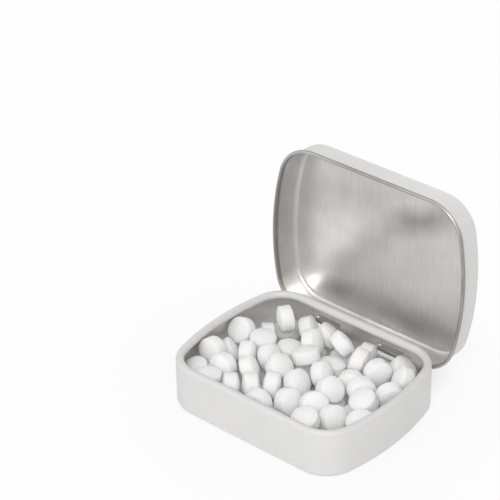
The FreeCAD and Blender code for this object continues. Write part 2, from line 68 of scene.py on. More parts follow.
def length(name, text, millimetres):
    """A size that a user may change, kept in metres."""
    return bpy.props.FloatProperty(name=name, description=text, default=millimetres * MM, min=0.0,
                                   precision=5, subtype="DISTANCE", unit="LENGTH")


def turn(name, text, degrees):
    """An angle that a user may change, given in degrees."""
    return bpy.props.FloatProperty(name=name, description=text, default=math.radians(degrees),
                                   subtype="ANGLE", unit="ROTATION")


def colour(name, text, code):
    """A colour that a user may change, given as an sRGB hex code."""
    return bpy.props.FloatVectorProperty(name=name, description=text, default=linear(code), size=4,
                                         min=0.0, max=1.0, subtype="COLOR")


class TinSizes(bpy.types.PropertyGroup):
    """Sizes of the drawn sheet, as in the solids."""
    sheet: length("Sheet", "Thickness of the tinplate", 0.25)
    lid_length: length("Lid length", "Lid over its bowed short sides", (LID_HIGH[0] - LID_LOW[0]) / MM)
    lid_width: length("Lid width", "Lid over its straight long sides", 47.75)
    end_bow: length("End bow", "Radius of the bowed short sides", 71.0)
    corner: length("Corner", "Radius of the lid's corners in plan", 10.6)
    lid_depth: length("Lid depth", "Lid from its top to its mouth", 8.1)
    lid_edge: length("Lid edge", "Radius between the lid's top and skirt", 1.6)
    headroom: length("Headroom", "Closed lid above the tray's rim", 0.2)
    forward: length("Forward", "Closed lid in front of the tray's middle", 0.175)
    bead: length("Bead", "Outside radius of the lid's rolled mouth", 0.48)
    bead_turn: turn("Bead turn", "Sheet rolled into the bead", 270)
    tray_inset: length("Tray inset", "Tray's outline inside the lid's", 1.29)
    tray_height: length("Tray height", "Tray up to its rim", (TRAY_HIGH[2] - TRAY_LOW[2]) / MM)
    tray_edge: length("Tray edge", "Radius between the tray's floor and wall", 1.5)
    rim: length("Rim", "Outside radius of the rolled rim", 1.05)
    rim_turn: turn("Rim turn", "Sheet rolled into the rim", 290)
    hinge_spacing: length("Hinge spacing", "Between the middles of the hinges", 20.2)
    tab_width: length("Tab width", "Hinge tab along the axis", 7.7)
    side_gap: length("Side gap", "Slot beyond each side of a tab", 0.4)
    bar: length("Bar", "Radius of a hinge bar", 0.45)
    bar_gap: length("Bar gap", "Running gap between bar and tab", 0.1)
    arm: length("Arm", "Arm at each end of a bar, along the axis", 0.5)
    tab_turn: turn("Tab turn", "Tab curled round the bar", 265)
    axis_rise: length("Axis rise", "Hinge axis above the closed lid's mouth", 0.6)
    slot_up: length("Slot up", "Hinge slot upwards from the axis", 2.75)
    slot_down: length("Slot down", "Hinge slot downwards from the axis", 1.3)
    open_angle: turn("Open angle", "Lid's turn from closed to its stop", 93)
    catch_height: length("Catch height", "Front catch above the underside", 8.15)
    catch: length("Catch", "Radius of the front catch", 0.8)
    catch_rise: length("Catch rise", "Front catch out of the wall", 0.12)


class MintSizes(bpy.types.PropertyGroup):
    """Sizes of one pressed mint."""
    diameter: length("Diameter", "Mint across its band", 7.0)
    band: length("Band", "Straight edge of a mint", 3.0)
    dome: length("Dome", "Rise of each face", 0.8)
    edge: length("Edge", "Worn round between band and face", 0.4)
    dent: length("Dent", "Depth of the unevenness of a pressed mint", 0.07)
    dent_width: length("Dent width", "Width of one dent of that unevenness", 2.2)
    seed: bpy.props.IntProperty(name="Seed", description="Chance spin and tone of the mints", default=7)


class TinColours(bpy.types.PropertyGroup):
    """Colours of the tin, its filling and the studio floor."""
    lacquer: colour("Lacquer", "White lacquer of the outside", "#DFDEDC")
    lacquer_worn: colour("Worn lacquer", "White lacquer where it was handled", "#D9D8D6")
    tinplate: colour("Tinplate", "Bare tinplate of the inside", "#E8E6E4")
    # Colour of the dull clouds, and also of the painted dark reflections and painted shade on the bare
    # tinplate.
    tinplate_dull: colour("Dull tinplate", "Bare tinplate in its dull clouds", "#9A9592")
    sugar: colour("Sugar", "Pressed sugar of the mints", "#FAF9F8")
    sugar_dull: colour("Dull sugar", "Pressed sugar of the dullest mint", "#F5F4F2")
    floor: colour("Floor", "Studio floor", "#F4F4F4")


# Small helpers

def in_use(sockets, name):
    """Socket by its number, or the one in use among those that share a name."""
    if isinstance(name, int):
        return sockets[name]
    return [s for s in sockets if s.name == name and s.enabled][0]


def add_node(tree, kind, inputs=None, **settings):
    """Node with its settings; an input takes a value, a socket or another node's first output in use."""
    made = tree.nodes.new(kind)
    for name, value in settings.items():
        setattr(made, name, value)
    for name, value in (inputs or {}).items():
        socket = in_use(made.inputs, name)
        if isinstance(value, bpy.types.Node):
            value = [s for s in value.outputs if s.enabled][0]
        if isinstance(value, bpy.types.NodeSocket):
            tree.links.new(value, socket)
        else:
            socket.default_value = value
    return made


def new_tree(name, inputs):
    """Geometry Nodes tree with its named inputs; returns it with what its inputs give."""
    tree = bpy.data.node_groups.new(name, "GeometryNodeTree")
    for label, socket in {"Geometry": "NodeSocketGeometry", **inputs}.items():
        tree.interface.new_socket(name=label, in_out="INPUT", socket_type=socket)
    tree.interface.new_socket(name="Geometry", in_out="OUTPUT", socket_type="NodeSocketGeometry")
    return tree, add_node(tree, "NodeGroupInput").outputs


def new_material(name):
    """Material with an empty tree, ready for its nodes."""
    made = bpy.data.materials.new(name)
    made.use_nodes = True
    made.node_tree.nodes.clear()
    return made, made.node_tree


def link(name, mesh):
    """Object of a mesh, in the scene."""
    piece = bpy.data.objects.new(name, mesh)
    bpy.context.scene.collection.objects.link(piece)
    return piece


def drop(piece):
    """Takes a helper object and its mesh out of the file."""
    mesh = piece.data
    bpy.data.objects.remove(piece)
    bpy.data.meshes.remove(mesh)


def mesh_of(work, name, *finishes):
    """Plain mesh of a mesh under work, with its finishes."""
    mesh = bpy.data.meshes.new(name)
    work.to_mesh(mesh)
    work.free()
    for finish in finishes:
        mesh.materials.append(finish)
    return mesh


def evaluated_mesh(piece):
    """Plain mesh of a piece with its modifiers; the modifiers are removed."""
    graph = bpy.context.evaluated_depsgraph_get()
    graph.update()
    mesh = bpy.data.meshes.new_from_object(piece.evaluated_get(graph))
    piece.modifiers.clear()
    return mesh


def smooth(mesh, degrees=35):
    """Smooth shading that keeps the folds sharper than an angle."""
    mesh.polygons.foreach_set("use_smooth", [True] * len(mesh.polygons))
    mesh.set_sharp_from_angle(angle=math.radians(degrees))
    mesh.update()


def settle_in(piece, body, slot, *nodes):
    """Ties a finished piece to its body and hides the solids that it stands for; its slot is not used."""
    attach(piece, body)
    if nodes:
        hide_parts(*nodes)


def arc(u, z, radius, start, end, steps):
    """Points of an arc in a plane, between two angles in degrees."""
    angles = [math.radians(start + (end - start) * k / steps) for k in range(steps + 1)]
    return [(u + radius * math.cos(a), z + radius * math.sin(a)) for a in angles]


# Geometry Nodes

def drawn_sheet():
    """Tree that sweeps a section of sheet along an outline, lacquered outside and bare inside."""
    tree, given = new_tree("Drawn sheet", {
        "Section": "NodeSocketObject", "Outside finish": "NodeSocketMaterial",
        "Inside finish": "NodeSocketMaterial"})
    path = add_node(tree, "GeometryNodeMeshToCurve", {"Mesh": given["Geometry"]})
    upright = add_node(tree, "GeometryNodeSetCurveNormal", {"Curve": path}, mode="Z_UP")
    section = add_node(tree, "GeometryNodeObjectInfo", {"Object": given["Section"]})
    profile = add_node(tree, "GeometryNodeMeshToCurve", {"Mesh": section.outputs["Geometry"]})
    sweep = add_node(tree, "GeometryNodeCurveToMesh", {"Curve": upright, "Profile Curve": profile})
    mark = add_node(tree, "GeometryNodeInputNamedAttribute", {"Name": "bare"}, data_type="FLOAT")
    inside = add_node(tree, "FunctionNodeCompare", {"A": mark, "B": 0.5},
                      data_type="FLOAT", operation="GREATER_THAN")
    real = add_node(tree, "GeometryNodeRealizeInstances", {"Geometry": sweep})
    outer = add_node(tree, "GeometryNodeSetMaterial",
                     {"Geometry": real, "Material": given["Outside finish"]})
    inner = add_node(tree, "GeometryNodeSetMaterial",
                     {"Geometry": outer, "Selection": inside, "Material": given["Inside finish"]})
    add_node(tree, "NodeGroupOutput", {"Geometry": inner})
    return tree


def laid_mints():
    """Tree that lays one mint on every point, turned to the point's own axis and dented by chance."""
    tree, given = new_tree("Laid mints", {
        "Mint": "NodeSocketObject", "Seed": "NodeSocketInt", "Dent": "NodeSocketFloat",
        "Dent width": "NodeSocketFloat", "Finish": "NodeSocketMaterial"})
    mint = add_node(tree, "GeometryNodeObjectInfo", {"Object": given["Mint"]})
    lie = add_node(tree, "GeometryNodeInputNamedAttribute", {"Name": "lie"}, data_type="FLOAT_VECTOR")
    lean = add_node(tree, "FunctionNodeAlignRotationToVector", {"Vector": lie}, axis="Z")
    chance = add_node(tree, "FunctionNodeRandomValue",
                      {"Max": (0.0, 0.0, 2 * math.pi), "Seed": given["Seed"]}, data_type="FLOAT_VECTOR")
    spin = add_node(tree, "FunctionNodeEulerToRotation", {"Euler": chance})
    turned = add_node(tree, "FunctionNodeRotateRotation", {"Rotation": lean, "Rotate By": spin},
                      rotation_space="LOCAL")
    laid = add_node(tree, "GeometryNodeInstanceOnPoints",
                    {"Points": given["Geometry"], "Instance": mint.outputs["Geometry"], "Rotation": turned})
    tone = add_node(tree, "FunctionNodeRandomValue", {"Seed": given["Seed"]}, data_type="FLOAT")
    toned = add_node(tree, "GeometryNodeStoreNamedAttribute",
                     {"Geometry": laid, "Name": "tone", "Value": tone}, data_type="FLOAT", domain="INSTANCE")
    real = add_node(tree, "GeometryNodeRealizeInstances", {"Geometry": toned})
    # Each mint is only ever dented inwards, so that it stays inside its solid.
    often = add_node(tree, "ShaderNodeMath", {0: 1.0, 1: given["Dent width"]}, operation="DIVIDE")
    uneven = add_node(tree, "ShaderNodeTexNoise", {"Scale": often, "Detail": 1.0})
    depth = add_node(tree, "ShaderNodeMath", {0: uneven.outputs["Fac"], 1: given["Dent"]},
                     operation="MULTIPLY")
    inwards = add_node(tree, "ShaderNodeMath", {0: depth, 1: -1.0}, operation="MULTIPLY")
    way = add_node(tree, "GeometryNodeInputNormal")
    push = add_node(tree, "ShaderNodeVectorMath", {0: way, "Scale": inwards}, operation="SCALE")
    dented = add_node(tree, "GeometryNodeSetPosition", {"Geometry": real, "Offset": push})
    coat = add_node(tree, "GeometryNodeSetMaterial", {"Geometry": dented, "Material": given["Finish"]})
    add_node(tree, "NodeGroupOutput", {"Geometry": coat})
    return tree


def run_tree(piece, tree, **inputs):
    """Plain mesh that a tree makes of a piece, with the tree's named inputs set first."""
    modifier = piece.modifiers.new("Making", "NODES")
    modifier.node_group = tree
    for item in tree.interface.items_tree:
        key = item.name.lower().replace(" ", "_")
        if item.in_out == "INPUT" and key in inputs:
            modifier[item.identifier] = inputs[key]
    return evaluated_mesh(piece)


# Finishes

def soft_spot(tree, place, middle, reach, lean=(0, 0, 0)):
    """Share that fades from 1 at a middle to 0 at its reach, in millimetres, with a lean in degrees."""
    spot = add_node(tree, "ShaderNodeMapping",
                    {"Vector": place, "Location": [MM * v for v in middle], "Scale": [MM * v for v in reach],
                     "Rotation": [math.radians(a) for a in lean]}, vector_type="TEXTURE")
    return add_node(tree, "ShaderNodeTexGradient", {"Vector": spot},
                    gradient_type="SPHERICAL").outputs["Fac"]


def stoved_white_lacquer(colours):
    """Stoved white lacquer on tinplate: even and satin, with a faint orange peel in its reflections."""
    made, tree = new_material("stoved_white_lacquer")
    place = add_node(tree, "ShaderNodeTexCoord").outputs["Object"]
    # Width of one bump of the orange peel, and of one patch of the haze from handling.
    peel_size, haze_size = 0.9 * MM, 9 * MM
    peel = add_node(tree, "ShaderNodeTexNoise", {"Vector": place, "Scale": 1 / peel_size, "Detail": 2.0})
    haze = add_node(tree, "ShaderNodeTexNoise", {"Vector": place, "Scale": 1 / haze_size, "Detail": 3.0})
    matt = add_node(tree, "ShaderNodeMapRange", {"Value": haze.outputs["Fac"], "From Min": 0.3,
                                                 "From Max": 0.7, "To Min": 0.34, "To Max": 0.46})
    tint = add_node(tree, "ShaderNodeMix", {"Factor": haze.outputs["Fac"], "A": colours.lacquer,
                                            "B": colours.lacquer_worn}, data_type="RGBA")
    bump = add_node(tree, "ShaderNodeBump", {"Height": peel.outputs["Fac"], "Strength": 0.05,
                                             "Distance": 0.02 * MM})
    shader = add_node(tree, "ShaderNodeBsdfPrincipled",
                      {"Base Color": tint, "Roughness": matt, "Normal": bump, "IOR": 1.5})
    add_node(tree, "ShaderNodeOutputMaterial", {"Surface": shader})
    return made


# Painted dark reflections on the open lid's plate, and painted shade on its short sides, along its lower
# skirt
# and at the hinges behind the slots, all as dull patches of the bare tinplate:
# middle and reach in millimetres, lean of the longer way in degrees, and depth.
PAINTED_REFLECTIONS_AND_SHADE = (
    ((12, 32.5, 42.5), (17, 12, 6), 33, 0.9),
    ((-8, 31.6, 25), (19, 12, 5), 40, 0.3),
    ((-14, 31, 13), (9, 12, 5), 15, 0.8),
    ((12, 31.3, 12.5), (22, 12, 4.5), 0, 0.6),
    ((-8, 32.5, 42), (24, 12, 15), 0, 0.55),
    ((-10.1, 24.6, 6.8), (7, 4, 3), 0, 1.6),
    ((10.1, 24.6, 6.8), (7, 4, 3), 0, 1.6),
    ((-30, 26, 29), (4, 8, 34), 0, 0.7),
    ((30, 26, 29), (4, 8, 34), 0, 0.7),
    ((0, 27, 6.4), (38, 5, 3), 0, 1.0),
)

# Darkening of the rolled bead of the lid's mouth towards the dull tinplate, given as the painted patches are;
# its lean is the open lid's.
MOUTH_DARKENING = ((0, 24.65, 30), (70, 1.1, 70), -3, 1.9)

# Clouds of uneven tinning: their width, and how far they ruffle the edge of a painted patch, in millimetres.
CLOUD_SIZE, RUFFLE = 16, 9

# Rolling lines as they are drawn: width and length in millimetres.
LINE_WIDTH, LINE_LENGTH = 0.3, 12

# Middle of the sugar powder on the tray's floor and its reach, in millimetres; its white also paints light
# into the heap's shaded crevices.
POWDER_LIGHT_MIDDLE, POWDER_LIGHT_REACH = (0, 0, 0), (50, 35, 11)


def rolled_bare_tinplate(colours):
    """Cold-rolled tinplate: a soft pale grey sheen with fine rolling lines and dull clouds, painted dark
    reflections and shade, and sugar powder that also paints light between the mints.
    """
    made, tree = new_material("rolled_bare_tinplate")
    place = add_node(tree, "ShaderNodeTexCoord").outputs["Object"]
    # Rolling lines about 0.06 mm apart are too fine to show, so they are drawn five times as coarse.
    lines = add_node(tree, "ShaderNodeMapping",
                     {"Vector": place, "Scale": (1 / LINE_WIDTH, 1 / LINE_WIDTH, 1 / LINE_LENGTH)})
    grain = add_node(tree, "ShaderNodeTexNoise", {"Vector": lines, "Scale": 1 / MM, "Detail": 3.0})
    # The clouds, taken about their mean, ruffle the edges of the painted reflections and shade.
    cloud = add_node(tree, "ShaderNodeTexNoise",
                     {"Vector": place, "Scale": 1 / (CLOUD_SIZE * MM), "Detail": 2.0})
    ruffle = add_node(tree, "ShaderNodeVectorMath", {0: cloud.outputs["Color"], 1: (0.5, 0.5, 0.5)},
                      operation="SUBTRACT")
    moved = add_node(tree, "ShaderNodeVectorMath", {0: ruffle, 1: (RUFFLE * MM,) * 3, 2: place},
                     operation="MULTIPLY_ADD")
    # The dull clouds start this share, and the painted reflections and painted shade are added to it.
    dull_and_shade = cloud.outputs["Fac"]
    # Painted dark reflections and painted shade, each a soft patch laid on the clouds.
    for middle, reach, lean, depth in PAINTED_REFLECTIONS_AND_SHADE:
        painted_patch = soft_spot(tree, moved, middle, reach, (0, -lean, 0))
        dull_and_shade = add_node(tree, "ShaderNodeMath", {0: painted_patch, 1: depth, 2: dull_and_shade}, operation="MULTIPLY_ADD")
    # The bead at the lid's mouth, 1 mm high and leaning with the lid, is darkened towards the dull tinplate.
    middle, reach, lean, depth = MOUTH_DARKENING
    bead_darkening = soft_spot(tree, place, middle, reach, (lean, 0, 0))
    dull_and_shade = add_node(tree, "ShaderNodeMath", {0: bead_darkening, 1: depth, 2: dull_and_shade}, operation="MULTIPLY_ADD")
    # Share of the dull colour: the clouds, and the painted reflections and shade.
    share = add_node(tree, "ShaderNodeMapRange", {"Value": dull_and_shade, "From Min": 0.4, "From Max": 1.6})
    tint = add_node(tree, "ShaderNodeMix", {"Factor": share, "A": colours.tinplate,
                                            "B": colours.tinplate_dull}, data_type="RGBA")
    shade = add_node(tree, "ShaderNodeMapRange", {"Value": grain.outputs["Fac"], "From Min": 0.3,
                                                  "From Max": 0.7, "To Min": 0.92, "To Max": 1.03})
    lined = add_node(tree, "ShaderNodeMix", {"Factor": 1.0, "A": tint, "B": shade},
                     data_type="RGBA", blend_type="MULTIPLY")
    rough = add_node(tree, "ShaderNodeMapRange", {"Value": cloud.outputs["Fac"], "From Min": 0.35,
                                                  "From Max": 0.65, "To Min": 0.3, "To Max": 0.4})
    scored = add_node(tree, "ShaderNodeBump", {"Height": grain.outputs["Fac"], "Strength": 0.1,
                                               "Distance": 0.02 * MM})
    # Sugar powder from the mints lies on the tray's floor and thins out up its walls; its white also paints
    # light into the shaded crevices between the mints.
    powder_light_spot = soft_spot(tree, place, POWDER_LIGHT_MIDDLE, POWDER_LIGHT_REACH)
    powder_light_share = add_node(tree, "ShaderNodeMapRange", {"Value": powder_light_spot, "From Min": 0.1, "From Max": 0.3})
    powdered_and_lit = add_node(tree, "ShaderNodeMix", {"Factor": powder_light_share, "A": lined, "B": colours.sugar},
                      data_type="RGBA")
    metal = add_node(tree, "ShaderNodeMapRange", {"Value": powder_light_share, "To Min": 0.75, "To Max": 0.0})
    shader = add_node(tree, "ShaderNodeBsdfPrincipled",
                      {"Base Color": powdered_and_lit, "Roughness": rough, "Normal": scored, "Metallic": metal})
    add_node(tree, "ShaderNodeOutputMaterial", {"Surface": shader})
    return made


def pressed_sugar_powder(colours):
    """Pressed sugar powder: dead matt and near white, light shines through it, with a fine open grain."""
    made, tree = new_material("pressed_sugar_powder")
    place = add_node(tree, "ShaderNodeTexCoord").outputs["Object"]
    tone = add_node(tree, "ShaderNodeAttribute", attribute_name="tone")
    # Powder grains about 0.12 mm across are too fine to show, so they are drawn coarser; chips are not.
    grain_size, chip_size = 0.3 * MM, 1.2 * MM
    powder = add_node(tree, "ShaderNodeTexNoise", {"Vector": place, "Scale": 1 / grain_size, "Detail": 4.0})
    chips = add_node(tree, "ShaderNodeTexNoise", {"Vector": place, "Scale": 1 / chip_size, "Detail": 3.0})
    white = add_node(tree, "ShaderNodeMix", {"Factor": tone.outputs["Fac"], "A": colours.sugar,
                                             "B": colours.sugar_dull}, data_type="RGBA")
    fine = add_node(tree, "ShaderNodeBump", {"Height": powder.outputs["Fac"], "Strength": 0.15,
                                             "Distance": 0.05 * MM})
    pits = add_node(tree, "ShaderNodeBump", {"Height": chips.outputs["Fac"], "Strength": 0.2,
                                             "Distance": 0.1 * MM, "Normal": fine})
    shader = add_node(tree, "ShaderNodeBsdfPrincipled",
                      {"Base Color": white, "Roughness": 0.75, "Normal": pits, "Specular IOR Level": 0.2,
                       "Subsurface Weight": 1.0, "Subsurface Radius": (1.0, 0.98, 0.95),
                       "Subsurface Scale": 2.0 * MM})
    add_node(tree, "ShaderNodeOutputMaterial", {"Surface": shader})
    return made


def finish(maker):
    """Finish by its maker's name, made once."""
    return bpy.data.materials.get(maker.__name__) or maker(bpy.context.scene.tin_colours)


# Shapes

# Steps of the arcs and sides of the turned shapes, fine enough for a close view.
CORNER_STEPS, BOW_STEPS, SIDE_STEPS = 22, 28, 24
TRAY_EDGE_STEPS, RIM_STEPS, RIM_INSIDE_STEPS = 10, 32, 28
LID_EDGE_STEPS, BEAD_STEPS, BEAD_INSIDE_STEPS = 12, 26, 18
TAB_STEPS, ARM_STEPS, BAR_SIDES = 36, 14, 36
CATCH_STEPS, CATCH_SIDES = 8, 36
MINT_STEPS, MINT_SIDES = 6, 44

# Short straight of a section beside an arc, and strip of a plate inside its rounded edge.
STRAIGHT, LIP = 0.2 * MM, 0.5 * MM

# Radius below which a point of a turned profile is a pole.
POLE = 1e-9


def outline(sizes, inset):
    """Plan outline, counter-clockwise: straight long sides, bowed short sides and round corners."""
    bow = sizes.end_bow - inset
    corner = sizes.corner - inset
    half_width = sizes.lid_width / 2 - inset
    bow_x = sizes.lid_length / 2 - sizes.end_bow
    corner_y = half_width - corner
    corner_x = bow_x + math.sqrt((bow - corner) ** 2 - corner_y ** 2)
    reach = math.degrees(math.atan2(corner_y, corner_x - bow_x))
    half = arc(corner_x, -corner_y, corner, -90, -reach, CORNER_STEPS)
    half += arc(bow_x, 0, bow, -reach, reach, BOW_STEPS)[1:]
    half += arc(corner_x, corner_y, corner, reach, 90, CORNER_STEPS)[1:]
    half += [(corner_x * (1 - 2 * k / SIDE_STEPS), half_width) for k in range(1, SIDE_STEPS)]
    return half + [(-x, -y) for x, y in half]


def chain(name, points, closed, bare=None):
    """Chain of edges, with a mark on each point for the bare side of the sheet."""
    mesh = bpy.data.meshes.new(name)
    count = len(points)
    edges = [(i, (i + 1) % count) for i in range(count if closed else count - 1)]
    mesh.from_pydata(points, edges, [])
    if bare:
        mark = mesh.attributes.new("bare", "FLOAT", "POINT")
        mark.data.foreach_set("value", bare)
    return link(name, mesh)


def sheet_shell(name, sizes, inset, outside, inside, levels):
    """Swept sheet, closed by a plate at each of two levels; the section is inward distance and height."""
    path = chain(name + "_outline", [(x, y, 0) for x, y in outline(sizes, inset)], True)
    bare = [0.0] * len(outside) + [1.0] * len(inside)
    profile = chain(name + "_section", [(-u, -z, 0) for u, z in outside + inside], False, bare)
    tree = bpy.data.node_groups.get("Drawn sheet") or drawn_sheet()
    mesh = run_tree(path, tree, section=profile, outside_finish=finish(stoved_white_lacquer),
                    inside_finish=finish(rolled_bare_tinplate))
    drop(path)
    drop(profile)
    shell = bmesh.new()
    shell.from_mesh(mesh)
    bmesh.ops.remove_doubles(shell, verts=shell.verts, dist=0.001 * MM)
    edges = [e for e in shell.edges if e.is_boundary]
    for plate in bmesh.ops.holes_fill(shell, edges=edges, sides=0)["faces"]:
        height = plate.calc_center_median().z
        plate.material_index = min((0, 1), key=lambda side: abs(levels[side] - height))
    bmesh.ops.recalc_face_normals(shell, faces=shell.faces)
    shell.to_mesh(mesh)
    shell.free()
    return mesh


def cut_boxes(mesh, boxes):
    """The mesh with upright boxes taken out of it, each given by its two corners."""
    piece = link("cut_work", mesh)
    cutters = []
    for low, high in boxes:
        block = bmesh.new()
        size = Vector(high) - Vector(low)
        place = Matrix.Translation((Vector(low) + Vector(high)) / 2) @ Matrix.Diagonal((*size, 1))
        bmesh.ops.create_cube(block, size=1.0, matrix=place)
        cutters.append(link("cutter", mesh_of(block, "cutter", *mesh.materials)))
        modifier = piece.modifiers.new("Cut", "BOOLEAN")
        modifier.object = cutters[-1]
        modifier.operation = "DIFFERENCE"
        modifier.solver = "EXACT"
    done = evaluated_mesh(piece)
    bpy.data.objects.remove(piece)
    for cutter in cutters:
        drop(cutter)
    return done


def lathe(profile, sides, axis_to):
    """Solid of revolution of a profile of radius and height, its axis turned to a direction."""
    solid = bmesh.new()
    rings = []
    for radius, height in profile:
        count = sides if radius > POLE else 1
        angles = [2 * math.pi * k / sides for k in range(count)]
        rings.append([solid.verts.new((radius * math.cos(a), radius * math.sin(a), height)) for a in angles])
    for low, high in zip(rings, rings[1:]):
        for k in range(sides):
            n = (k + 1) % sides
            corners = [low[k % len(low)], low[n % len(low)], high[n % len(high)], high[k % len(high)]]
            solid.faces.new(list(dict.fromkeys(corners)))
    bmesh.ops.recalc_face_normals(solid, faces=solid.faces)
    solid.transform(Vector((0, 0, 1)).rotation_difference(Vector(axis_to)).to_matrix().to_4x4())
    return solid


def extrude(solid, section, left, right, inner=0):
    """Adds a bar of a section between two places along X; its last, inner sides take the second finish."""
    ends = [[solid.verts.new((x, y, z)) for y, z in section] for x in (left, right)]
    count = len(section)
    for k in range(count):
        n = (k + 1) % count
        side = solid.faces.new((ends[0][k], ends[0][n], ends[1][n], ends[1][k]))
        side.material_index = int(k >= count - inner)
    caps = [solid.faces.new(end) for end in ends]
    bmesh.ops.triangulate(solid, faces=caps, ngon_method="EAR_CLIP")


def hinge_places(sizes):
    """Middles of the two hinges along X."""
    return (-sizes.hinge_spacing / 2, sizes.hinge_spacing / 2)


def skirt_face(sizes):
    """Outer face of the lid's skirt at the back, in the lid's own place."""
    return sizes.lid_width / 2 - 2 * sizes.bead + sizes.sheet


def curl_radius(sizes):
    """Outside radius of a tab curled round its bar."""
    return sizes.bar + sizes.bar_gap + sizes.sheet


def hinge_axis(sizes):
    """Y and Z of the hinge axis, and Z of the closed lid's mouth."""
    mouth = sizes.tray_height + sizes.headroom + sizes.sheet - sizes.lid_depth
    back = skirt_face(sizes) - sizes.sheet + curl_radius(sizes) - sizes.forward
    return back, mouth + sizes.axis_rise, mouth


def opened(sizes):
    """Placement that lays the lid back on its stop."""
    y, z, mouth = hinge_axis(sizes)
    there = Matrix.Translation((0, y, z))
    swing = Matrix.Rotation(-sizes.open_angle, 4, "X")
    return there @ swing @ there.inverted() @ Matrix.Translation((0, -sizes.forward, mouth))


# Pieces

class MINTTIN_OT_tray(bpy.types.Operator):
    """Drawn tray with its rolled rim, slotted back, hinge bars and front catch"""
    bl_idname = "mint_tin.tray"
    bl_label = "Tray"

    def execute(self, context):
        s = context.scene.tin_sizes
        top, edge, t = s.tray_height - s.rim, s.tray_edge, s.sheet
        rolled = 180 - math.degrees(s.rim_turn)
        outside = [(edge + LIP, 0)] + arc(edge, edge, edge, 270, 180, TRAY_EDGE_STEPS)
        outside += [(0, edge + STRAIGHT), (0, top - STRAIGHT)]
        outside += arc(s.rim, top, s.rim, 180, rolled, RIM_STEPS)
        inside = arc(s.rim, top, s.rim - t, rolled, 180, RIM_INSIDE_STEPS)
        inside += [(t, top - STRAIGHT), (t, edge + STRAIGHT)]
        inside += arc(edge, edge, edge - t, 180, 270, TRAY_EDGE_STEPS) + [(edge + LIP, t)]
        mesh = sheet_shell("tray", s, s.tray_inset, outside, inside, (0.0, t))
        y, z = hinge_axis(s)[:2]
        half = s.tab_width / 2 + s.side_gap
        wall = s.lid_width / 2 - s.tray_inset
        # The slots are cut from well inside the wall to well outside it.
        near, far = wall - 4 * t, wall + 4 * t
        mesh = cut_boxes(mesh, [((x - half, near, z - s.slot_down), (x + half, far, z + s.slot_up))
                                for x in hinge_places(s)])
        smooth(mesh)
        settle_in(link("tray", mesh), "base", "tray_tinplate", "base_tray")
        self.bars(s, y, z, wall - t)
        self.catch(s)
        return {"FINISHED"}

    def bars(self, s, y, z, foot):
        """Two bars of the tray's own metal that the lid's tabs turn on, each on two arms from the wall."""
        solid = bmesh.new()
        half = s.tab_width / 2 + s.side_gap
        arm = [(foot, z - s.bar)] + arc(y, z, s.bar, -90, 90, ARM_STEPS) + [(foot, z + s.bar)]
        # The bar is a hair thinner than the rounded nose of an arm, and ends inside it.
        hair = 0.01 * MM
        bar = arc(y, z, s.bar - hair, 0, 360, BAR_SIDES)[:-1]
        for x in hinge_places(s):
            extrude(solid, bar, x - half - s.arm / 2, x + half + s.arm / 2)
            extrude(solid, arm, x - half - s.arm, x - half)
            extrude(solid, arm, x + half, x + half + s.arm)
        bmesh.ops.recalc_face_normals(solid, faces=solid.faces)
        mesh = mesh_of(solid, "hinge_bars", finish(rolled_bare_tinplate))
        smooth(mesh)
        settle_in(link("hinge_bars", mesh), "base", "tray_tinplate")

    def catch(self, s):
        """Small dome pressed out of the front wall."""
        ball = (s.catch ** 2 + s.catch_rise ** 2) / (2 * s.catch_rise)
        reach = math.degrees(math.asin(s.catch / ball))
        profile = [(0, -s.sheet / 2), (s.catch, -s.sheet / 2)]
        profile += arc(0, s.catch_rise - ball, ball, 90 - reach, 90, CATCH_STEPS)[:-1] + [(0, s.catch_rise)]
        solid = lathe(profile, CATCH_SIDES, (0, -1, 0))
        solid.transform(Matrix.Translation((0, s.tray_inset - s.lid_width / 2, s.catch_height)))
        mesh = mesh_of(solid, "front_catch", finish(stoved_white_lacquer))
        smooth(mesh, degrees=60)
        settle_in(link("front_catch", mesh), "base", "tray_tinplate")


